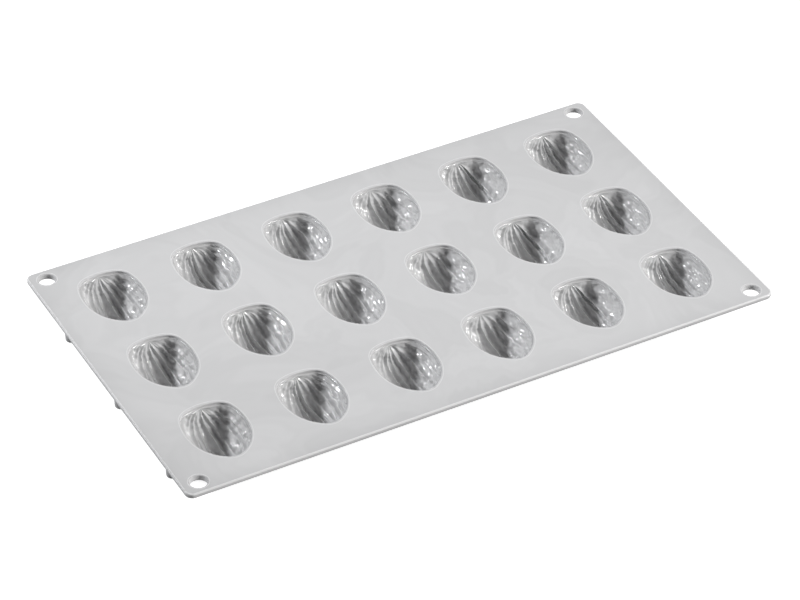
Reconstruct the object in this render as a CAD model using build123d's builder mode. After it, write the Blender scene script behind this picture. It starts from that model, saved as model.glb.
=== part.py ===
from build123d import *
from math import atan2, cos, degrees, hypot, pi, radians, sin, sqrt
import os

# Silicone baking mold: a flat sheet with eighteen half-walnut cups and six support feet.
# Millimetres, +Z up, +X along the long side, +Y towards the blunt ends of the walnuts.
# The origin is the middle of the surface that the mold stands on.

# Sheet
sheet_length = 300.0
sheet_width = 175.0
sheet_thickness = 2.8
sheet_corner_radius = 6.0
sheet_edge_break = 0.7

# Holes in the sheet's corners
hole_diameter = 8.0
hole_inset_x = 8.3
hole_inset_y = 7.0

# Grid of cups: the outer mouths' middles lie this far inside the sheet's edges, the others evenly between them
row_names = ("front", "middle", "back")
cup_inset_x = 31.0
cup_inset_y = 33.6

# Mouth of a cup: an egg of tangent arcs in plan, blunt towards +Y, measured from its widest line
mouth_width = 28.4
mouth_blunt_length = 16.1
mouth_tip_length = 21.5
side_radius = 32.7
shoulder_radius = 8.0
blunt_radius = 24.0
flank_radius = 21.0
tip_radius = 7.6

# Cup: a smooth collar at the mouth, a ledge in the sheet, and the walnut from the ledge down
stand_height = 14.2
collar_depth = 1.5
ledge_width = 0.5
cup_wall = 1.6
cup_floor = 1.6
sole_flat_depth = 0.5
reach_share = 0.993

# Outside of a cup, smooth
outside_rib_count = 8
outside_stations = 7

# Walnut inside, one form for each column: ribs in a full turn, depth of the flutes, turn about the long axis
rib_counts = (16, 16, 16, 12, 14, 14)
flute_shares = (0.08, 0.09, 0.09, 0.11, 0.09, 0.10)
rib_turn_degrees = (0.0, 6.0, 11.0, 8.0, 4.0, 13.0)
walnut_stations = 7

# Feet under the short edges, one in line with each row of cups
foot_inset = 7.7
foot_diameter = 6.0

# Levels and places worked out from the above
underside = stand_height
top_face = underside + sheet_thickness
parting_level = top_face - collar_depth
cup_rows = len(row_names)
cup_columns = len(rib_counts)
column_pitch = (sheet_length - 2 * cup_inset_x) / (cup_columns - 1)
row_pitch = (sheet_width - 2 * cup_inset_y) / (cup_rows - 1)
column_places = [(column - (cup_columns - 1) / 2) * column_pitch for column in range(cup_columns)]
row_places = [(row - (cup_rows - 1) / 2) * row_pitch for row in range(cup_rows)]
mouth_shift = (mouth_tip_length - mouth_blunt_length) / 2
hole_spacing_x = sheet_length - 2 * hole_inset_x
hole_spacing_y = sheet_width - 2 * hole_inset_y
foot_spacing = sheet_length - 2 * foot_inset


def quarter_arcs(half_width, length, radii):
    """Three tangent arcs from (half_width, 0) to (0, length), each as centre, radius, start and end angle.

    The middle arc's centre is where it can touch both others: two sides of a triangle on the line of their centres.
    """
    side, middle, end = radii
    side_x = half_width - side
    end_y = length - end
    base = hypot(side_x, end_y)
    to_side = side - middle
    to_end = abs(end - middle)
    along = (to_side**2 - to_end**2 + base**2) / (2 * base)
    turned = 1 if end > middle else -1
    off = turned * sqrt(to_side**2 - along**2)
    x = side_x - side_x / base * along - end_y / base * off
    y = end_y / base * along - side_x / base * off
    first = atan2(y, x - side_x)
    last = atan2(turned * (y - end_y), turned * x)
    return (
        ((side_x, 0), side, 0, first),
        ((x, y), middle, first, last),
        ((0, end_y), end, last, pi / 2),
    )


def egg_quarters(grow=0.0):
    """Arcs of the egg's right side, blunt quarter and tip quarter, grown outwards by a margin."""
    quarters = []
    for length, middle, end in (
        (mouth_blunt_length, shoulder_radius, blunt_radius),
        (mouth_tip_length, flank_radius, tip_radius),
    ):
        radii = [radius + grow for radius in (side_radius, middle, end)]
        quarters.append(quarter_arcs(mouth_width / 2 + grow, length + grow, radii))
    return quarters


def mouth_sketch():
    """Egg of a cup's mouth, about its widest line."""
    with BuildSketch() as egg:
        with BuildLine():
            for way, quarter in zip((1, -1), egg_quarters()):
                for (x, y), radius, first, last in quarter:
                    CenterArc((x, way * y), radius, way * degrees(first), way * degrees(last - first))
            mirror(about=Plane.YZ)
        make_face()
    return egg.sketch


def half_width_at(y, grow):
    """Half width of the grown egg at a distance y from its widest line, read from its arcs."""
    blunt, tip = egg_quarters(grow)
    for (x, arc_y), radius, _, last in blunt if y > 0 else tip:
        if abs(y) <= arc_y + radius * sin(last):
            return x + sqrt(radius**2 - (abs(y) - arc_y) ** 2)


def make_nut(grow, depth, stations, ribs, flute=0.0, turn=0.0):
    """Whole nut along Y, about its widest line: the grown egg in plan, and a star across, flattened to a depth.

    The stations lie closer together towards both ends. All sections are the same star in other sizes, so each
    side of a rib is one flat face between two stations.
    """
    flattening = depth / (mouth_width / 2 + grow)
    sections = []
    for station in range(stations):
        along = -cos(pi * station / (stations - 1)) * reach_share
        y = along * ((mouth_blunt_length if along > 0 else mouth_tip_length) + grow)
        section = []
        for corner in range(2 * ribs):
            angle = pi * (corner + 0.5) / ribs + radians(turn)
            radius = half_width_at(y, grow) * (1 - flute * (corner % 2))
            section.append((radius * cos(angle), y, flattening * radius * sin(angle)))
        sections.append(section)
    faces = [Face(Wire.make_polygon(section)) for section in (sections[0], sections[-1])]
    for near, far in zip(sections, sections[1:]):
        for corner in range(2 * ribs):
            sides = [near[corner - 1], near[corner], far[corner], far[corner - 1]]
            faces.append(Face(Wire.make_polygon(sides)))
    return Solid(Shell(faces))


def make_cup(walnut):
    """Cup below the sheet, about its mouth's widest line: a smooth nut with a flat sole, less the walnut."""
    outside = make_nut(cup_wall, parting_level + sole_flat_depth, outside_stations, outside_rib_count)
    with BuildPart() as cup:
        with Locations((0, 0, parting_level)):
            add(outside)
            add(walnut, mode=Mode.SUBTRACT)
        split(bisect_by=Plane.XY, keep=Keep.TOP)
        split(bisect_by=Plane.XY.offset(underside), keep=Keep.BOTTOM)
    return cup.part


os.makedirs("parts", exist_ok=True)
mouth = mouth_sketch()
walnuts = [
    make_nut(-ledge_width, parting_level - cup_floor, walnut_stations, *form)
    for form in zip(rib_counts, flute_shares, rib_turn_degrees)
]

# Sheet with the corner holes, the collars of the cups and the upper edge of each walnut
with BuildPart() as sheet:
    with BuildSketch(Plane.XY.offset(underside)):
        RectangleRounded(sheet_length, sheet_width, sheet_corner_radius)
        with GridLocations(hole_spacing_x, hole_spacing_y, 2, 2):
            Circle(hole_diameter / 2, mode=Mode.SUBTRACT)
    extrude(amount=sheet_thickness)
    chamfer(sheet.faces().sort_by(Axis.Z)[-1].outer_wire().edges(), sheet_edge_break)
    with BuildSketch(Plane.XY.offset(parting_level)):
        with Locations(*[(x, y + mouth_shift) for x in column_places for y in row_places]):
            add(mouth)
    extrude(amount=collar_depth, mode=Mode.SUBTRACT)
    for column_x, walnut in zip(column_places, walnuts):
        with Locations(*[(column_x, y + mouth_shift, parting_level) for y in row_places]):
            add(walnut, mode=Mode.SUBTRACT)
sheet.part.label = "sheet"
export_step(sheet.part, "parts/sheet.step")

# Rows of cups that stand apart from each other, one of each form in a row
cups = [make_cup(walnut) for walnut in walnuts]
for row_name, row_y in zip(row_names, row_places):
    with BuildPart() as cup_row:
        for column_x, cup in zip(column_places, cups):
            with Locations((column_x, row_y + mouth_shift, 0)):
                add(cup)
    cup_row.part.label = f"cups_{row_name}_row"
    export_step(cup_row.part, f"parts/cups_{row_name}_row.step")

# Feet at both ends, from the underside down to the surface that the mold stands on
for end_name, foot_x in (("left", -foot_spacing / 2), ("right", foot_spacing / 2)):
    with BuildPart() as feet:
        with Locations(*[(foot_x, row_y, underside / 2) for row_y in row_places]):
            Cylinder(foot_diameter / 2, underside)
    feet.part.label = f"feet_{end_name}_end"
    export_step(feet.part, f"parts/feet_{end_name}_end.step")
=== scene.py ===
"""Looks of a silicone baking mold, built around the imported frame. Metres, +Z up."""

from math import asin, atan2, cos, hypot, pi, radians, sin, sqrt

import bmesh
import bpy
import numpy as np
from mathutils import Matrix, Vector
from mathutils.geometry import delaunay_2d_cdt


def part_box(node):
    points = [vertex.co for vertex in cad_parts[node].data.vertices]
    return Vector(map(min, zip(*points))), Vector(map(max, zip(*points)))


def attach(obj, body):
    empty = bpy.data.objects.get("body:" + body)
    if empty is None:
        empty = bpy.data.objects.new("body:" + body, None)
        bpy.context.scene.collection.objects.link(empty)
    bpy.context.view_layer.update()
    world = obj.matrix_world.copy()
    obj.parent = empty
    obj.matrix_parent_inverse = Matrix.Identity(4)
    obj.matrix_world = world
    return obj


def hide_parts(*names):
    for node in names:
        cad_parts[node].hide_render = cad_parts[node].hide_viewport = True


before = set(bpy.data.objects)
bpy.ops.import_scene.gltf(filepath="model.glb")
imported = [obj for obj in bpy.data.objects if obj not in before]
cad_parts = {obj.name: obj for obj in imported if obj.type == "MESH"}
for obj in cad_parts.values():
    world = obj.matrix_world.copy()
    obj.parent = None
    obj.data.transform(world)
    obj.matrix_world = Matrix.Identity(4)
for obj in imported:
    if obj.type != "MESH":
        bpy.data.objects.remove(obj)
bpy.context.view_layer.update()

MM = 0.001

# Sheet, read from the frame, and the rounding of its edges
sheet_low, sheet_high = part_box("sheet")
TOP = sheet_high.z
UNDER = sheet_low.z
SHEET_LENGTH = sheet_high.x - sheet_low.x
SHEET_WIDTH = sheet_high.y - sheet_low.y
SHEET_CORNER = 3.8 * MM
TOP_ROUNDING = 0.65 * MM
BOTTOM_ROUNDING = 1.2 * MM
HOLE_RADIUS = 4.0 * MM
HOLE_INSET_X = 8.3 * MM
HOLE_INSET_Y = 7.0 * MM
HOLE_ROUNDING = 0.6 * MM

# Mouth of a cup: an egg of tangent arcs, blunt towards +Y, measured from its widest line
MOUTH_WIDTH = 28.4 * MM
BLUNT_LENGTH = 16.1 * MM
TIP_LENGTH = 21.5 * MM
SIDE_RADIUS = 32.7 * MM
SHOULDER_RADIUS = 8.0 * MM
BLUNT_RADIUS = 24.0 * MM
FLANK_RADIUS = 21.0 * MM
TIP_RADIUS = 7.6 * MM
MOUTH_SHIFT = (TIP_LENGTH - BLUNT_LENGTH) / 2

# Rim of a mouth: a rounding, a gap that is wide at the egg's ends and narrow at its sides, and a ring of
# painted highlight
RIM_ROUNDING = 0.45 * MM
END_GAP = 0.65 * MM
SIDE_GAP = 0.013 * MM
RIM_HIGHLIGHT_BAND = 0.42 * MM

# Collar below the rim, and the ledge at its foot, wider beside the pole, where the walnut comes to a point
COLLAR = 1.5 * MM
PARTING = TOP - COLLAR
LEDGE = 0.4 * MM
LEDGE_FILLET = 0.2 * MM
LEDGE_SHOULDER = 0.6 * MM
SHOULDER_PLACE = 4.2 * MM
SHOULDER_REACH = 2.6 * MM

# Cup under the sheet
CUP_WALL = 1.6 * MM
CUP_FLOOR = 1.6 * MM
CUP_FILLET = 0.9 * MM
SOLE_SHARE = 0.3

# Feet
FOOT_RADIUS = 3.0 * MM
FOOT_TAPER = 0.35 * MM
FOOT_FILLET = 0.9 * MM
FOOT_ROUNDING = 1.1 * MM

# Places of the cups and holes
ROWS = ("front", "middle", "back")
COLUMNS = 6
COLUMN_PITCH = 47.6 * MM
ROW_PITCH = 53.9 * MM
COLUMN_PLACES = [(column - (COLUMNS - 1) / 2) * COLUMN_PITCH for column in range(COLUMNS)]
ROW_PLACES = [(row - (len(ROWS) - 1) / 2) * ROW_PITCH for row in range(len(ROWS))]
MOUTHS = [(x, y + MOUTH_SHIFT) for x in COLUMN_PLACES for y in ROW_PLACES]
HOLES = [
    (side_x * (SHEET_LENGTH / 2 - HOLE_INSET_X), side_y * (SHEET_WIDTH / 2 - HOLE_INSET_Y))
    for side_x in (-1, 1)
    for side_y in (-1, 1)
]

# Fineness of the meshes: steps of a rounding, round a corner, a hole and a foot, and down the cup's outside
EDGE_STEPS = 5
RIM_STEPS = 6
FILLET_STEPS = 4
CORNER_STEPS = 10
HOLE_STEPS = 72
FOOT_STEPS = 48
DOME_STEPS = 13
SOLE_SHARES = (0.95, 0.6, 0.3, 0.0)

# Fineness of the walnut: points along its length, steps round its belly
STATIONS = 129
BELLY_STEPS = 180

# Lattice of the flats, the share of a step that it keeps clear of a ring, and the narrow band that stays
# flat inside the outline's rounding
LATTICE = 6.0 * MM
CLEARANCE = 0.3
HOLDING_BAND = 0.12 * MM

# Points of a flat that are nearer than this are one point to the triangulation
SAME_POINT = 1e-9

# Points closer than this are merged, edges turned by more than this are shaded sharp, and a normal shorter
# than this counts as none
SEAM = 0.002 * MM
SHARP_TURN = radians(40)
NO_LENGTH = 1e-12

# Finishes by number, in the order of FINISHES: deck, cavity, and two lighter tones that are painted
# highlights, on the outline's top edge and round the mouths and holes
DECK, CAVITY, PAINTED_EDGE_HIGHLIGHT, PAINTED_RIM_HIGHLIGHT = range(4)


# Plans and rings

def quarter_arcs(half_width, length, radii):
    """Three tangent arcs from (half_width, 0) to (0, length), each as centre, radius, start and end angle.

    The middle arc's centre is where it can touch both others: two sides of a triangle on the line between
    their centres.
    """
    side, middle, end = radii
    side_x = half_width - side
    end_y = length - end
    base = hypot(side_x, end_y)
    along = ((side - middle) ** 2 - (end - middle) ** 2 + base**2) / (2 * base)
    turned = 1 if end > middle else -1
    off = turned * sqrt((side - middle) ** 2 - along**2)
    x = side_x - side_x / base * along - end_y / base * off
    y = end_y / base * along - side_x / base * off
    first = atan2(y, x - side_x)
    last = atan2(turned * (y - end_y), turned * x)
    return [(side_x, 0, side, 0, first), (x, y, middle, first, last), (0, end_y, end, last, pi / 2)]


def egg_side(count):
    """Right side of the egg from its tip to its blunt end, evenly spaced: points and outward normals.

    The normal turns at a steady rate along each arc, so a length along the side gives the normal's angle,
    and the point is the arc's centre plus its radius along the normal.
    """
    blunt = quarter_arcs(MOUTH_WIDTH / 2, BLUNT_LENGTH, (SIDE_RADIUS, SHOULDER_RADIUS, BLUNT_RADIUS))
    tip = quarter_arcs(MOUTH_WIDTH / 2, TIP_LENGTH, (SIDE_RADIUS, FLANK_RADIUS, TIP_RADIUS))
    arcs = [(x, -y, radius, -last, -first) for x, y, radius, first, last in reversed(tip)] + blunt
    x, y, radius, first, last = np.array(arcs).T
    ends = np.cumsum(radius * (last - first))
    length = np.linspace(0, ends[-1], count)
    arc = np.minimum(np.searchsorted(ends, length), len(arcs) - 1)
    angle = last[arc] - (ends[arc] - length) / radius[arc]
    normals = np.stack((np.cos(angle), np.sin(angle)), 1)
    points = np.stack((x[arc], y[arc]), 1) + radius[arc, None] * normals
    points[[0, -1], 0] = 0
    normals[[0, -1], 0] = 0
    return points, normals


def whole_ring(side):
    """Closed ring from its right side: the side, then its mirror image back, without the two ends."""
    back = side[-2:0:-1] * (-1, 1)
    return np.concatenate((side, back))


SIDE, SIDE_NORMALS = egg_side(STATIONS)
EGG = whole_ring(SIDE)
EGG_NORMALS = whole_ring(SIDE_NORMALS)


def circle_ring(count):
    """Circle of radius 1 about the origin, evenly divided: each point is its own outward normal."""
    angle = np.linspace(0, 2 * pi, count, endpoint=False)
    return np.stack((np.cos(angle), np.sin(angle)), 1)


def rounded_rectangle(length, width, radius, spacing, corner_steps):
    """Rectangle with round corners about the origin: points and outward normals.

    Each quarter is a straight side, evenly divided, and then a corner, where the normal turns by even steps
    about a centre that stays at the side's end. A point is its centre plus the radius along its normal.
    """
    points = []
    normals = []
    for quarter in range(4):
        turn = quarter * pi / 2
        across = (length, width)[quarter % 2] / 2 - radius
        along = (width, length)[quarter % 2] / 2 - radius
        steps = max(1, round(2 * along / spacing))
        aside = np.append(np.linspace(-along, along, steps, endpoint=False), np.full(corner_steps, along))
        angle = turn + np.append(np.zeros(steps), np.linspace(0, pi / 2, corner_steps, endpoint=False))
        x = across * cos(turn) - aside * sin(turn)
        y = across * sin(turn) + aside * cos(turn)
        normals.append(np.stack((np.cos(angle), np.sin(angle)), 1))
        points.append(np.stack((x, y), 1) + radius * normals[-1])
    return np.concatenate(points), np.concatenate(normals)


def quarter_round(steps):
    """Quarter circle from flat to upright, in shares: how far out it still is, how far it has come down."""
    angle = np.linspace(0, pi / 2, steps + 1)
    return list(zip(1 - np.sin(angle), 1 - np.cos(angle)))


def lift(flat, height):
    """Points of a plan at one height."""
    return np.column_stack((flat, np.full(len(flat), height)))


def rounded_rings(plan, normals, radius, height, steps, down=1):
    """Rings of a quarter round, from a flat at one height to an upright wall over the plan.

    A ring is the plan grown along its normals by what is left of the radius, and it lies as far down as the
    round has come, or as far up with down at -1.
    """
    return [
        lift(plan + out * radius * normals, height - down * fallen * radius)
        for out, fallen in quarter_round(steps)
    ]


# Meshes and pieces

def ring_faces(rings, count, closed=True):
    """Quads between neighbouring rings of count points each."""
    steps = np.arange(count if closed else count - 1)
    ring, step = np.meshgrid(np.arange(rings - 1), steps, indexing="ij")
    a = ring * count + step
    b = ring * count + (step + 1) % count
    return np.stack((a, b, b + count, a + count), -1).reshape(-1, 4)


class Shell:
    """Vertices and faces of one piece, gathered from rings and flats, with a finish for each face."""

    def __init__(self):
        self.points = []
        self.faces = []
        self.finishes = []
        self.total = 0

    def add(self, points, faces, finish):
        """Points, and faces that count from the first of them, all in one finish."""
        self.points.append(points)
        self.faces += (np.asarray(faces) + self.total).tolist()
        self.finishes.append(np.full(len(faces), finish))
        self.total += len(points)

    def add_rings(self, rings, finish):
        """Band through rings that have equally many points."""
        self.add(np.concatenate(rings), ring_faces(len(rings), len(rings[0])), finish)

    def mesh(self, name):
        """Mesh with the seams between its parts merged and its faces turned outwards."""
        mesh = bpy.data.meshes.new(name)
        mesh.from_pydata(np.concatenate(self.points), [], self.faces)
        mesh.polygons.foreach_set("material_index", np.concatenate(self.finishes).astype(np.int32))
        shaped = bmesh.new()
        shaped.from_mesh(mesh)
        bmesh.ops.remove_doubles(shaped, verts=shaped.verts, dist=SEAM)
        bmesh.ops.recalc_face_normals(shaped, faces=shaped.faces)
        shaped.to_mesh(mesh)
        shaped.free()
        mesh.polygons.foreach_set("use_smooth", np.ones(len(mesh.polygons), bool))
        mesh.set_sharp_from_angle(angle=SHARP_TURN)
        return mesh


def add_piece(name, mesh, node, materials):
    """Object of a finished mesh that rides with the mold and stands for a node of the frame."""
    for material in materials:
        mesh.materials.append(material)
    piece = bpy.data.objects.new(name, mesh)
    bpy.context.scene.collection.objects.link(piece)
    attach(piece, "root")
    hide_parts(node)
    return piece


# Sheet

def inside_ring(places, ring):
    """Whether places lie inside a ring: nearer to its middle than the ring is in their heading."""
    middle = ring.mean(0)
    out = ring - middle
    angle = np.arctan2(out[:, 1], out[:, 0])
    order = np.argsort(angle)
    away = places - middle
    heading = np.arctan2(away[:, 1], away[:, 0])
    reach = np.interp(heading, angle[order], np.linalg.norm(out, axis=1)[order], period=2 * pi)
    return np.linalg.norm(away, axis=1) <= reach


def flat_face(rings, height):
    """Flat between an outer ring and the rings inside it, on a lattice that keeps clear of them all.

    Every ring is convex, so a triangle with its three corners on one inner ring lies in that ring's
    opening, and is left out.
    """
    outer, *inner = rings
    low, high = outer.min(0), outer.max(0)
    counts = np.round((high - low) / LATTICE).astype(int)
    axes = [np.linspace(low[i], high[i], counts[i] + 1)[1:-1] for i in (0, 1)]
    lattice = np.stack(np.meshgrid(*axes), -1).reshape(-1, 2)
    for ring in rings:
        nearest = np.linalg.norm(lattice[:, None] - ring, axis=2).min(1)
        lattice = lattice[nearest > CLEARANCE * LATTICE]
    for ring in inner:
        lattice = lattice[~inside_ring(lattice, ring)]

    plan = np.concatenate(rings + [lattice])
    label = np.repeat(np.arange(len(rings) + 1), [len(part) for part in rings + [lattice]])
    starts = np.searchsorted(label, np.arange(len(rings)))
    edges = []
    for start, ring in zip(starts, rings):
        step = np.arange(len(ring))
        edges.append(start + np.stack((step, np.roll(step, -1)), 1))
    inside_only = 1
    plan = [Vector(point) for point in plan]
    made = delaunay_2d_cdt(plan, np.concatenate(edges).tolist(), [], inside_only, SAME_POINT)
    triangles = np.array(made[2])
    first, second, third = label[triangles].T
    in_opening = (first == second) & (second == third) & (first > 0) & (first < len(rings))
    return lift(np.array([tuple(v) for v in made[0]]), height), triangles[~in_opening]


def make_sheet():
    """Sheet: deck and underside as flats, joined by rings down its edge, its holes and its mouths."""
    sheet = Shell()
    outline, normals = rounded_rectangle(SHEET_LENGTH, SHEET_WIDTH, SHEET_CORNER, LATTICE, CORNER_STEPS)
    top_rings = [outline - (TOP_ROUNDING + HOLDING_BAND) * normals]
    under_rings = [outline - (BOTTOM_ROUNDING + HOLDING_BAND) * normals]
    upper = rounded_rings(outline, -normals, TOP_ROUNDING, TOP, EDGE_STEPS)
    lower = rounded_rings(outline, -normals, BOTTOM_ROUNDING, UNDER, EDGE_STEPS, down=-1)
    # Lighter edge tone over the outline's top rounding: a painted highlight line along the edge
    sheet.add_rings([lift(top_rings[0], TOP)] + upper, PAINTED_EDGE_HIGHLIGHT)
    sheet.add_rings([upper[-1]] + lower[::-1] + [lift(under_rings[0], UNDER)], DECK)

    circle = circle_ring(HOLE_STEPS)
    for place in np.array(HOLES):
        hole = place + HOLE_RADIUS * circle
        top_rings.append(hole + (HOLE_ROUNDING + RIM_HIGHLIGHT_BAND) * circle)
        under_rings.append(hole)
        wall = rounded_rings(hole, circle, HOLE_ROUNDING, TOP, EDGE_STEPS)
        # Ring on the deck round the hole in the lighter rim tone: a painted highlight ring
        sheet.add_rings([lift(top_rings[-1], TOP), wall[0]], PAINTED_RIM_HIGHLIGHT)
        sheet.add_rings(wall + [lift(hole, UNDER)], DECK)

    gap = RIM_ROUNDING + SIDE_GAP + END_GAP * EGG_NORMALS[:, 1:] ** 2
    for place in np.array(MOUTHS):
        mouth = place + EGG
        top_rings.append(mouth + (gap + RIM_HIGHLIGHT_BAND) * EGG_NORMALS)
        under_rings.append(mouth)
        inner_line = lift(mouth + gap * EGG_NORMALS, TOP)
        rim = rounded_rings(mouth, EGG_NORMALS, RIM_ROUNDING, TOP, RIM_STEPS)
        middle = (UNDER + TOP - RIM_ROUNDING) / 2
        # Ring on the deck outside the mouth's rounding, in the lighter rim tone: a painted highlight ring
        sheet.add_rings([lift(top_rings[-1], TOP), inner_line], PAINTED_RIM_HIGHLIGHT)
        sheet.add_rings([inner_line] + rim, DECK)
        sheet.add_rings([rim[-1], lift(mouth, middle), lift(mouth, UNDER)], CAVITY)

    sheet.add(*flat_face(top_rings, TOP), DECK)
    sheet.add(*flat_face(under_rings, UNDER), DECK)
    return sheet.mesh("sheet_skin")


# Walnut relief

# Crests of each column's walnut, in degrees round its belly from the +X rim to the -X rim
CRESTS = (
    (-12, 7, 24, 40, 64, 83, 104, 124, 143, 161, 178, 195),
    (-8, 12, 25, 40, 61, 81, 97, 108, 126, 146, 165, 185),
    (-7, 11, 28, 44, 69, 87, 103, 120, 140, 160, 178, 196),
    (-6, 21, 41, 66, 92, 111, 134, 157, 180, 203),
    (-4, 21, 47, 58, 77, 99, 118, 138, 158, 180, 202),
    (-3, 27, 51, 68, 84, 100, 117, 136, 157, 180, 202),
)

# Heights of crests, of the threads between them, and of bumps, pebbles and grain all over
RELIEF = 1.35 * MM
THREADS = 0.34 * MM
BUMPS = 0.16 * MM
PEBBLES = 0.1 * MM
GRAIN = 0.03 * MM

# Sizes of the random fields, how far they are drawn out along the walnut, and how many waves each has, in
# lengths that spread about its size
SLOW_SIZE = 16 * MM
BUMP_SIZE = 5.5 * MM
PEBBLE_SIZE = 2.8 * MM
GRAIN_SIZE = 1.6 * MM
STRETCH = 0.6
WAVE_COUNT = 28
WAVE_SPREAD = (0.7, 1.4)

# Seed of the first column's fields, and the step to the next column's
FIRST_SEED = 3
SEED_STEP = 11

# Wander of the crests in degrees, by the slow field and by the bumps
SLOW_WANDER = 1.8
BUMP_WANDER = 0.5

# Shape of crests and threads: share of cusp in a crest, how round both are, the threads' turn against the
# crests, and the most that the slow field gives them
CUSP_SHARE = 0.68
CREST_ROUND = 0.012
THREAD_ROUND = 0.05
THREAD_TURN = 0.6
THREAD_MOST = 1.5

# Crests differ in height by up to this share, and a sine turns by this much from one to the next
UNEVEN = 0.3
UNEVEN_TURN = 2.4

# How far off a field is read for another purpose, so that the two don't follow each other
THREADS_OFF = 0.5
BUMPS_OFF = 0.3

# How strong the crests are along the walnut, from tip to pole, and round it, from the +X rim to the -X rim
ALONG_PLACES = (0.0, 0.1, 0.3, 0.55, 0.72, 0.99, 1.0)
ALONG_STRENGTH = (0.0, 0.4, 0.6, 0.95, 1.0, 1.0, 0.0)
ROUND_PLACES = (0, 3, 14, 36, 44, 92, 110, 150, 177, 180)
ROUND_STRENGTH = (0.0, 0.3, 0.55, 1.0, 1.3, 1.3, 1.0, 1.0, 0.8, 0.0)

# Where a change starts and where it is full, as shares along the walnut or degrees round its belly
FAN_ALONG = (0.78, 1.0)
BARE_ALONG = (0.78, 0.88)
BARE_ROUND = (45, 20)
ROUGH_ALONG = (0.75, 0.55)
ROUGH_ROUND = (75, 55)
TIP_FADE = (0, 0.1)
POLE_FADE = (1, 0.95)
RIM_FADE = (0, 6)

# Strength of those changes, the angle that the crests fan out from, and the half width of the walnut below
# which its crests get lower
SPREAD = 1.2
FAN_MIDDLE = 65
BARE_CRESTS = 0.85
BARE_LUMPS = 0.6
ROUGHER = 1.3
CALM_WIDTH = 11 * MM


class Waves:
    """Smooth random field: a sum of seeded plane waves whose lengths lie around one size."""

    def __init__(self, seed, size):
        draw = np.random.default_rng(seed)
        heading = draw.normal(size=(WAVE_COUNT, 3))
        heading /= np.linalg.norm(heading, axis=1)[:, None]
        self.turns = heading * (2 * pi / (size * draw.uniform(*WAVE_SPREAD, (WAVE_COUNT, 1))))
        self.start = draw.uniform(0, 2 * pi, WAVE_COUNT)

    def at(self, points):
        """Value at each point, about as often over as under 0, and mostly between -2 and 2."""
        return sqrt(2 / WAVE_COUNT) * np.sin(points @ self.turns.T + self.start).sum(-1)


def ramp(value, start, full):
    """0 up to the start, 1 from where it is full, and a straight line between them, in either direction."""
    return np.clip((value - start) / (full - start), 0, 1)


def cusp(turn, roundness):
    """1 less the size of a sine, whose point is rounded by what is added to its square."""
    return 1 - np.sqrt(np.sin(turn) ** 2 + roundness)


def walnut_relief(belly, along, width, points, crests, seed):
    """How far the walnut stands into the cup, by angle round the belly and share along (0 tip, 1 blunt).

    The angle is drawn together near the pole, where the crests fan out, bent by two random fields, and
    counted in crests. Each crest is part cusp and part wave, a little higher or lower than the next. Threads
    half as far apart come and go between them. Crests are low where the walnut is narrow, and nearly gone on
    a bare patch beside the pole on the +X side. Bumps, pebbles and grain cover it all, less on the bare
    patch, and with stronger pebbles on the +X side towards the tip. All fades out at the rim and both ends.
    """
    slow = Waves(seed, SLOW_SIZE)
    bumps = Waves(seed + 1, BUMP_SIZE)
    pebbles = Waves(seed + 2, PEBBLE_SIZE)
    grain = Waves(seed + 3, GRAIN_SIZE)
    points = points * (1, STRETCH, 1)
    calm = np.minimum(1, width / CALM_WIDTH)
    bare = ramp(belly, *BARE_ROUND) * ramp(along, *BARE_ALONG)

    fan = 1 + SPREAD * ramp(along, *FAN_ALONG) ** 2
    wander = calm * (SLOW_WANDER * slow.at(points) + BUMP_WANDER * bumps.at(points))
    bent = FAN_MIDDLE + (belly - FAN_MIDDLE) / fan + wander
    count = np.interp(bent, crests, np.arange(len(crests)))
    wave = 0.5 + 0.5 * np.cos(2 * pi * count)
    crest = CUSP_SHARE * cusp(pi * count, CREST_ROUND) + (1 - CUSP_SHARE) * wave
    height = 1 + UNEVEN * np.sin(UNEVEN_TURN * np.floor(count + 0.5) + seed)
    thread = cusp(2 * pi * count + THREAD_TURN, THREAD_ROUND)
    thread *= np.clip(slow.at(points + THREADS_OFF), 0, THREAD_MOST)
    strength = np.interp(along, ALONG_PLACES, ALONG_STRENGTH)
    strength *= np.interp(belly, ROUND_PLACES, ROUND_STRENGTH)
    strength *= calm * (1 - BARE_CRESTS * bare)

    rim = ramp(np.minimum(belly, 180 - belly), *RIM_FADE)
    ends = np.minimum(ramp(along, *TIP_FADE), ramp(along, *POLE_FADE))
    cover = rim * rim * (3 - 2 * rim) * ends * (1 - BARE_LUMPS * bare)
    rough = 1 + ROUGHER * ramp(belly, *ROUGH_ROUND) * ramp(along, *ROUGH_ALONG)
    lumps = BUMPS * bumps.at(points + BUMPS_OFF) + PEBBLES * rough * pebbles.at(points)
    lumps += GRAIN * grain.at(points)
    return strength * (RELIEF * crest * height + THREADS * thread) + cover * lumps


# Cups

def dome_ring(height, grow):
    """Ring round the outside of a cup: the egg, grown, times a scale that falls from 1 to the sole's share.

    The scale is the square root of 1 - (1 - sole share squared) * depth share squared.
    """
    level = 1 - height / UNDER
    return lift((EGG + grow * EGG_NORMALS) * sqrt(1 - (1 - SOLE_SHARE**2) * level**2), height)


def outside_rings():
    """Outside of a cup: a fillet at the sheet, the dome by even turns of its depth, and a flat sole."""
    fillet = [
        dome_ring(UNDER - down * CUP_FILLET, CUP_WALL + out * CUP_FILLET)
        for out, down in quarter_round(EDGE_STEPS)
    ]
    angles = np.linspace(asin(CUP_FILLET / UNDER), pi / 2, DOME_STEPS + 1)[1:]
    dome = [dome_ring(UNDER * (1 - sin(angle)), CUP_WALL) for angle in angles]
    return fillet + dome + [dome[-1] * (share, share, 1) for share in SOLE_SHARES]


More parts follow.
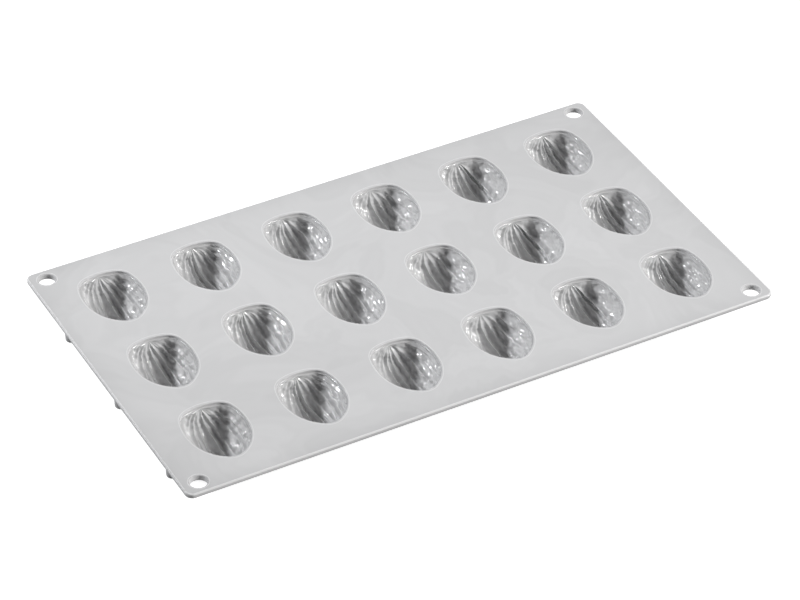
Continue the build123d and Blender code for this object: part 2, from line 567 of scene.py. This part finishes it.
def ledge_width(side):
    """Width of the ledge along the egg's right side: even, with a bell-shaped shoulder beside the pole."""
    beside = np.exp(-(((side[:, 0] - SHOULDER_PLACE) / SHOULDER_REACH) ** 2)) * (side[:, 1] > 0)
    return LEDGE + LEDGE_SHOULDER * beside


def ledge_rings(inner):
    """Up the mouth's wall within the sheet, round a fillet, and over the ledge to the walnut's edge."""
    away = EGG - inner
    away /= np.linalg.norm(away, axis=1)[:, None]
    fillet = [
        lift(EGG - down * LEDGE_FILLET * away, PARTING + out * LEDGE_FILLET)
        for out, down in quarter_round(FILLET_STEPS)
    ]
    return [lift(EGG, UNDER)] + fillet + [lift(inner, PARTING)]


def walnut_grid(half, form):
    """Walnut inside a cup: half ellipses across it, moved inwards along their normals by the relief."""
    flattening = (PARTING - CUP_FLOOR) / half[:, 0].max()
    angle, width = np.meshgrid(np.radians(np.linspace(0, 180, BELLY_STEPS + 1)), half[:, 0], indexing="ij")
    along = np.broadcast_to(np.linspace(0, 1, STATIONS), angle.shape)
    y = np.broadcast_to(half[:, 1], angle.shape)
    smooth = np.stack((width * np.cos(angle), y, PARTING - width * flattening * np.sin(angle)), -1)
    inward = np.cross(np.gradient(smooth, axis=1), np.gradient(smooth, axis=0))
    inward /= np.maximum(np.linalg.norm(inward, axis=2, keepdims=True), NO_LENGTH)
    seed = FIRST_SEED + SEED_STEP * form
    relief = walnut_relief(np.degrees(angle), along, width, smooth, CRESTS[form], seed)
    relief[:, [0, -1]] = 0
    return smooth + inward * relief[..., None]


def make_cup(form):
    """Cup about its mouth's widest line: outside, seat against the sheet's underside, ledge and walnut."""
    cup = Shell()
    outside = outside_rings()
    half = SIDE - ledge_width(SIDE)[:, None] * SIDE_NORMALS
    half[[0, -1], 0] = 0
    cup.add_rings(outside, DECK)
    cup.add_rings([outside[0], lift(EGG, UNDER)], DECK)
    cup.add_rings(ledge_rings(whole_ring(half)), CAVITY)
    faces = ring_faces(BELLY_STEPS + 1, STATIONS, closed=False)
    cup.add(walnut_grid(half, form).reshape(-1, 3), faces, CAVITY)
    return cup.mesh(f"cup_form_{form + 1}")


# Feet

def make_feet(name, x):
    """Feet under one short edge, each a turned profile: fillet at the sheet, slight taper, round sole."""
    feet = Shell()
    circle = circle_ring(FOOT_STEPS)
    sole = FOOT_RADIUS - FOOT_TAPER
    fillet = [
        (FOOT_RADIUS + out * FOOT_FILLET, UNDER - down * FOOT_FILLET)
        for out, down in quarter_round(FILLET_STEPS)
    ]
    rounding = [
        (sole - out * FOOT_ROUNDING, down * FOOT_ROUNDING)
        for out, down in reversed(quarter_round(EDGE_STEPS))
    ]
    profile = [(0, UNDER)] + fillet + rounding + [(0, 0)]
    for y in ROW_PLACES:
        feet.add_rings([lift((x, y) + circle * radius, height) for radius, height in profile], DECK)
    return feet.mesh(name)


# Materials

DECK_TONE = (0.543, 0.543, 0.549)
CAVITY_TONE = (0.535, 0.535, 0.54)
# Edge tone, lighter than the deck: a painted highlight line on the outline's top rounding
EDGE_HIGHLIGHT_TONE = (0.68, 0.68, 0.685)
# Rim tone, lighter than the deck: a painted highlight ring round the mouths and holes
RIM_HIGHLIGHT_TONE = (0.64, 0.64, 0.645)
SILICONE_IOR = 1.43
COAT_ROUGHNESS = 0.07

# Clouds in the silicone, how often flow lines follow their levels, and the width of the band of painted
# shade along the outline
CLOUDS = {"Scale": 17.0, "Detail": 3.0, "Distortion": 1.3}
GRAIN_DETAIL = 2.0
FLOW_TURNS = 55.0
PAINTED_SHADE_BAND = 14.0 * MM


def feed(tree, socket, value):
    """Link a socket to another socket, or give it a plain value."""
    if isinstance(value, bpy.types.NodeSocket):
        tree.links.new(value, socket)
    else:
        socket.default_value = value


def add_node(tree, kind, values, operation=None):
    """Node with its inputs, by name or number, fed from sockets or plain values."""
    node = tree.nodes.new(f"ShaderNode{kind}")
    if operation:
        node.operation = operation
    for label, value in values.items():
        feed(tree, node.inputs[label], value)
    return node


def calculate(tree, operation, *values):
    """Output of a math node fed from sockets or plain numbers."""
    return add_node(tree, "Math", dict(enumerate(values)), operation).outputs[0]


def near_outline(tree, place):
    """Mask of the painted edge shade: nearness to the sheet's outline in plan, the square of a rise from 0
    at the band's inner side to 1.
    """
    axes = add_node(tree, "SeparateXYZ", {0: place}).outputs
    out_x = calculate(tree, "SUBTRACT", calculate(tree, "ABSOLUTE", axes["X"]), SHEET_LENGTH / 2)
    out_y = calculate(tree, "SUBTRACT", calculate(tree, "ABSOLUTE", axes["Y"]), SHEET_WIDTH / 2)
    out = calculate(tree, "MAXIMUM", out_x, out_y)
    share = calculate(tree, "DIVIDE", calculate(tree, "ADD", out, PAINTED_SHADE_BAND), PAINTED_SHADE_BAND)
    share = calculate(tree, "MINIMUM", calculate(tree, "MAXIMUM", share, 0.0), 1.0)
    return calculate(tree, "MULTIPLY", share, share)


def moulded_silicone():
    """Group: the tone and gloss of moulded silicone with a painted shade near the outline, and its fine skin
    grain as a height.

    The tone is scaled by 1 + cloudiness * (clouds - half) + flow lines * sine of the clouds' level - painted
    edge shade * nearness to the outline. The roughness is raised by gloss spread * (clouds - half).
    """
    group = bpy.data.node_groups.new("moulded_silicone", "ShaderNodeTree")
    sockets = {
        "INPUT": {
            "Tone": "Color",
            "Cloudiness": "Float",
            "Flow lines": "Float",
            "Painted edge shade": "Float",
            "Roughness": "Float",
            "Gloss spread": "Float",
            "Grain size": "Float",
        },
        "OUTPUT": {"Base Color": "Color", "Roughness": "Float", "Grain": "Float"},
    }
    for way, kinds in sockets.items():
        for label, kind in kinds.items():
            group.interface.new_socket(label, in_out=way, socket_type=f"NodeSocket{kind}")
    given = group.nodes.new("NodeGroupInput").outputs
    out = group.nodes.new("NodeGroupOutput").inputs

    place = group.nodes.new("ShaderNodeTexCoord").outputs["Object"]
    clouds = add_node(group, "TexNoise", {"Vector": place, **CLOUDS}).outputs["Fac"]
    grain_inputs = {"Vector": place, "Scale": given["Grain size"], "Detail": GRAIN_DETAIL}
    grain = add_node(group, "TexNoise", grain_inputs).outputs["Fac"]
    centred = calculate(group, "SUBTRACT", clouds, 0.5)
    cloudy = calculate(group, "MULTIPLY_ADD", centred, given["Cloudiness"], 1.0)
    lines = calculate(group, "SINE", calculate(group, "MULTIPLY", clouds, FLOW_TURNS))
    lines = calculate(group, "MULTIPLY", lines, given["Flow lines"])
    # Painted shade: the tone is darkened near the sheet's outline
    shade = calculate(group, "MULTIPLY", near_outline(group, place), given["Painted edge shade"])
    level = calculate(group, "SUBTRACT", calculate(group, "ADD", cloudy, lines), shade)
    tone = add_node(group, "VectorMath", {0: given["Tone"], "Scale": level}, "SCALE")
    gloss = calculate(group, "MULTIPLY_ADD", centred, given["Gloss spread"], given["Roughness"])
    feed(group, out["Base Color"], tone.outputs[0])
    feed(group, out["Roughness"], gloss)
    feed(group, out["Grain"], grain)
    return group


def silicone(
    name,
    group,
    tone,
    roughness,
    gloss_spread,
    grain_size,
    grain_height,
    cloudiness=0.05,
    flow_lines=0.0,
    painted_edge_shade=0.0,
    coat=0.0,
    specular=0.5,
):
    """Silicone material: the group's tone, gloss and grain on one shader."""
    material = bpy.data.materials.new(name)
    material.use_nodes = True
    tree = material.node_tree
    skin = tree.nodes.new("ShaderNodeGroup")
    skin.node_tree = group
    for label, value in {
        "Tone": (*tone, 1),
        "Cloudiness": cloudiness,
        "Flow lines": flow_lines,
        "Painted edge shade": painted_edge_shade,
        "Roughness": roughness,
        "Gloss spread": gloss_spread,
        "Grain size": grain_size,
    }.items():
        skin.inputs[label].default_value = value
    bump_inputs = {"Distance": grain_height, "Strength": 1.0, "Height": skin.outputs["Grain"]}
    bump = add_node(tree, "Bump", bump_inputs)
    for label, value in {
        "Base Color": skin.outputs["Base Color"],
        "Roughness": skin.outputs["Roughness"],
        "Normal": bump.outputs["Normal"],
        "IOR": SILICONE_IOR,
        "Specular IOR Level": specular,
        "Coat Weight": coat,
        "Coat Roughness": COAT_ROUGHNESS,
    }.items():
        feed(tree, tree.nodes["Principled BSDF"].inputs[label], value)
    return material


skin_group = moulded_silicone()
# The deck's tone darkens by up to 7% towards the sheet's outline: painted shade
deck_finish = silicone(
    "silicone_satin",
    skin_group,
    DECK_TONE,
    roughness=0.78,
    gloss_spread=0.06,
    grain_size=2600.0,
    grain_height=0.004 * MM,
    cloudiness=0.22,
    flow_lines=0.012,
    painted_edge_shade=0.07,
    specular=0.3,
)
cavity_finish = silicone(
    "silicone_glossy",
    skin_group,
    CAVITY_TONE,
    roughness=0.2,
    gloss_spread=0.05,
    grain_size=1400.0,
    grain_height=0.003 * MM,
    coat=0.6,
)
# Lighter tone on the outline's top rounding: a painted highlight, not a colour of the silicone
edge_highlight_finish = silicone(
    "silicone_painted_edge_highlight",
    skin_group,
    EDGE_HIGHLIGHT_TONE,
    roughness=0.3,
    gloss_spread=0.04,
    grain_size=2600.0,
    grain_height=0.003 * MM,
)
# Lighter tone in rings on the deck round the mouths and holes: a painted highlight, not a colour of the
# silicone
rim_highlight_finish = silicone(
    "silicone_painted_rim_highlight",
    skin_group,
    RIM_HIGHLIGHT_TONE,
    roughness=0.36,
    gloss_spread=0.04,
    grain_size=2600.0,
    grain_height=0.003 * MM,
)
FINISHES = (deck_finish, cavity_finish, edge_highlight_finish, rim_highlight_finish)


# Pieces

add_piece("sheet_skin", make_sheet(), "sheet", FINISHES)
cup_meshes = [make_cup(form) for form in range(COLUMNS)]
for row_name, row_y in zip(ROWS, ROW_PLACES):
    for number, (column_x, cup_mesh) in enumerate(zip(COLUMN_PLACES, cup_meshes), 1):
        placed = cup_mesh.copy()
        placed.transform(Matrix.Translation((column_x, row_y + MOUTH_SHIFT, 0)))
        add_piece(f"cup_{row_name}_{number}", placed, f"cups_{row_name}_row", FINISHES)
for end_name in ("left", "right"):
    low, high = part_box(f"feet_{end_name}_end")
    feet_mesh = make_feet(f"feet_{end_name}", (low.x + high.x) / 2)
    add_piece(f"feet_{end_name}", feet_mesh, f"feet_{end_name}_end", FINISHES)


# Stage: floor, light and camera

FLOOR_TONE = (0.48, 0.48, 0.48, 1)
FLOOR_ROUGHNESS = 0.9
FLOOR_GLOW = 0.88
FLOOR_GAP = 0.05 * MM
FLOOR_REACH = 6.0
SKY_LEVEL = 0.08
WHITE = (1, 1, 1, 1)

# Lamps: heading round from +X, rise over the floor and beam in degrees, distance and face in metres, watts
KEY = {
    "turn": 144,
    "rise": 32,
    "distance": 3.0,
    "width": 0.42,
    "height": 0.32,
    "beam": 16,
    "power": 0.75,
    "colour": (0.975, 0.985, 1.0),
}
FILL = {
    "turn": 322,
    "rise": 33.5,
    "distance": 5.0,
    "width": 0.7,
    "height": 3.3,
    "beam": 60,
    "power": 38.0,
    "colour": (1.0, 0.995, 0.985),
}
LAMP_AIM = Vector((0.02, 0.02, 0.0))

# Camera: heading from -Y, elevation, roll, distance from the point that it looks at, and lens in millimetres
CAMERA_AZIMUTH = radians(-28.537)
CAMERA_ELEVATION = radians(38.258)
CAMERA_ROLL = radians(0.225)
CAMERA_DISTANCE = 1.6368
CAMERA_AIM = Vector((-0.0048, -0.0103, TOP))
FOCAL_LENGTH = 160.07
SENSOR_WIDTH = 36.0


def seen_directly(tree):
    """1 where a camera, glossy or transmission ray meets the surface: these show the pale background."""
    path = tree.nodes.new("ShaderNodeLightPath").outputs
    seen = calculate(tree, "MAXIMUM", path["Is Camera Ray"], path["Is Glossy Ray"])
    return calculate(tree, "MAXIMUM", seen, path["Is Transmission Ray"])


def make_floor():
    """Pale floor that glows for the eye, so that it turns white and keeps the mold's shadow."""
    material = bpy.data.materials.new("pale_floor")
    material.use_nodes = True
    tree = material.node_tree
    for label, value in {
        "Base Color": FLOOR_TONE,
        "Roughness": FLOOR_ROUGHNESS,
        "Specular IOR Level": 0.0,
        "Emission Color": WHITE,
        "Emission Strength": calculate(tree, "MULTIPLY", seen_directly(tree), FLOOR_GLOW),
    }.items():
        feed(tree, tree.nodes["Principled BSDF"].inputs[label], value)
    mesh = bpy.data.meshes.new("floor")
    signs = ((-1, -1), (1, -1), (1, 1), (-1, 1))
    mesh.from_pydata([(x * FLOOR_REACH, y * FLOOR_REACH, -FLOOR_GAP) for x, y in signs], [], [(0, 1, 2, 3)])
    mesh.materials.append(material)
    floor = bpy.data.objects.new("floor", mesh)
    bpy.context.scene.collection.objects.link(floor)


def make_sky():
    """World: an even sky, white where it is seen directly."""
    world = bpy.data.worlds.new("studio")
    bpy.context.scene.world = world
    world.use_nodes = True
    tree = world.node_tree
    seen = tree.nodes.new("ShaderNodeLightPath").outputs["Is Camera Ray"]
    level = add_node(tree, "MapRange", {"Value": seen, "To Min": SKY_LEVEL, "To Max": 1.0})
    background = tree.nodes["Background"]
    feed(tree, background.inputs["Color"], WHITE)
    feed(tree, background.inputs["Strength"], level.outputs[0])


def add_lamp(name, turn, rise, distance, width, height, beam, power, colour):
    """Soft lamp with an elliptic face that points at the mold."""
    turn, rise = radians(turn), radians(rise)
    heading = Vector((cos(rise) * cos(turn), cos(rise) * sin(turn), sin(rise)))
    lamp = bpy.data.lights.new(name, "AREA")
    lamp.shape = "ELLIPSE"
    lamp.size = width
    lamp.size_y = height
    lamp.spread = radians(beam)
    lamp.energy = power
    lamp.color = colour
    holder = bpy.data.objects.new(name, lamp)
    holder.location = LAMP_AIM + heading * distance
    holder.rotation_mode = "QUATERNION"
    holder.rotation_quaternion = (-heading).to_track_quat("-Z", "Y")
    bpy.context.scene.collection.objects.link(holder)


def make_camera():
    """Camera on a long lens, turned about the point that it looks at."""
    a, e, roll = CAMERA_AZIMUTH, CAMERA_ELEVATION, CAMERA_ROLL
    back = Vector((sin(a) * cos(e), -cos(a) * cos(e), sin(e)))
    level = Vector((cos(a), sin(a), 0))
    up = back.cross(level)
    right = level * cos(roll) + up * sin(roll)
    camera = bpy.data.cameras.new("camera")
    camera.lens = FOCAL_LENGTH
    camera.sensor_width = SENSOR_WIDTH
    holder = bpy.data.objects.new("camera", camera)
    turn = Matrix((right, back.cross(right), back)).transposed()
    holder.matrix_world = Matrix.Translation(CAMERA_AIM + back * CAMERA_DISTANCE) @ turn.to_4x4()
    bpy.context.scene.collection.objects.link(holder)
    bpy.context.scene.camera = holder


make_floor()
make_sky()
add_lamp("key", **KEY)
add_lamp("fill", **FILL)
make_camera()
bpy.context.scene.view_settings.view_transform = "Standard"
